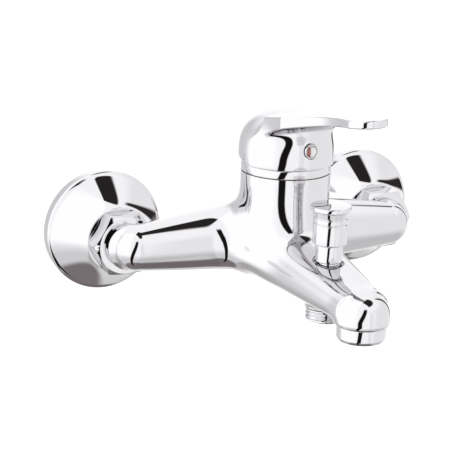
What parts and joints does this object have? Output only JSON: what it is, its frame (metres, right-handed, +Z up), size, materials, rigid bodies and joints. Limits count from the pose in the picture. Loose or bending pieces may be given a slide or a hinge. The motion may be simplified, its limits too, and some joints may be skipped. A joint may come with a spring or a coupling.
{
  "type": "wall mounted bath faucet",
  "caption": "Chrome wall mounted bath and shower mixer with a lifting and turning lever, a pull-up diverter, a spout with an aerator and a threaded shower outlet.",
  "frame": {"origin": "On the finished wall plane, midway between the centres of the two wall inlets", "axes": "+Y into the wall, -Y out into the room, +Z up, +X to the right of someone facing the wall"},
  "size_m": [0.2128, 0.1728, 0.1145],
  "materials": {
    "chrome_plate": "mirror polished chrome on brass",
    "machined_brass": "turned brass",
    "stainless_steel": "plain stainless steel",
    "black_rubber": "matt moulded rubber",
    "white_acetal": "moulded acetal",
    "grey_nylon": "moulded nylon",
    "alumina_ceramic": "lapped alumina",
    "indicator_resin": "clear tinted resin"
  },
  "bodies": {
    "mixer": {"escutcheon_left": "chrome_plate", "escutcheon_right": "chrome_plate", "union_nut_left": "chrome_plate", "union_nut_right": "chrome_plate", "mixer_body": "chrome_plate", "trim_ring": "chrome_plate", "aerator_housing": "chrome_plate", "diverter_bonnet": "chrome_plate", "shower_nipple": "chrome_plate", "s_union_left": "machined_brass", "s_union_right": "machined_brass", "inlet_nipple_left": "machined_brass", "inlet_nipple_right": "machined_brass", "retaining_nut": "machined_brass", "filter_screen_left": "stainless_steel", "filter_screen_right": "stainless_steel", "filter_washer_left": "black_rubber", "filter_washer_right": "black_rubber", "inlet_seal_left": "black_rubber", "inlet_seal_right": "black_rubber", "outlet_seal": "black_rubber", "aerator_gasket": "black_rubber", "stem_o_ring": "black_rubber", "cartridge_base": "white_acetal", "cartridge_housing": "white_acetal", "aerator_flow_plate": "white_acetal", "aerator_screen": "grey_nylon", "check_valve_body": "grey_nylon", "ceramic_disc_fixed": "alumina_ceramic"},
    "swivel": {"cartridge_rotor": "grey_nylon", "pivot_pin": "stainless_steel"},
    "lever": {"lever_spindle": "machined_brass", "lever_handle": "chrome_plate", "handle_set_screw": "stainless_steel", "indicator_plug": "indicator_resin"},
    "moving_disc": {"ceramic_disc_moving": "alumina_ceramic", "disc_carrier": "grey_nylon"},
    "diverter": {"diverter_stem": "machined_brass", "diverter_piston": "machined_brass", "piston_seal_lower": "black_rubber", "piston_seal_upper": "black_rubber", "diverter_spring": "stainless_steel"},
    "diverter_knob": {"diverter_knob": "chrome_plate"},
    "poppet": {"check_valve_poppet": "white_acetal", "check_valve_spring": "stainless_steel"}
  },
  "joints": [
    {"name": "lever_swivel", "type": "hinge", "parent": "mixer", "child": "swivel", "pos_m": [0, -0.0615, 0.034], "axis": [0, 0, 1], "range_deg": [-56, 44]},
    {"name": "lever_lift", "type": "hinge", "parent": "swivel", "child": "lever", "pos_m": [0, -0.0615, 0.034], "axis": [-0.999, -0.0436, 0], "range_deg": [0, 15]},
    {"name": "disc_slide", "type": "slide", "parent": "swivel", "child": "moving_disc", "axis": [0.0436, -0.999, 0], "range_m": [0, 0.002]},
    {"name": "diverter_lift", "type": "slide", "parent": "mixer", "child": "diverter", "axis": [0, 0, 1], "range_m": [0, 0.0048], "stiffness_N_per_m": 250, "springref_m": -0.006, "deforming": ["diverter_spring"]},
    {"name": "diverter_knob_turn", "type": "hinge", "parent": "diverter", "child": "diverter_knob", "pos_m": [0, -0.1104, 0.02], "axis": [0, 0, 1], "continuous": true},
    {"name": "check_poppet", "type": "slide", "parent": "mixer", "child": "poppet", "axis": [0, 0, -1], "range_m": [0, 0.0014], "stiffness_N_per_m": 80, "springref_m": -0.003, "deforming": ["check_valve_spring"]}
  ],
  "couplings": [
    {"joint": "disc_slide", "follows": "lever_lift", "m_per_rad": 0.0075}
  ]
}
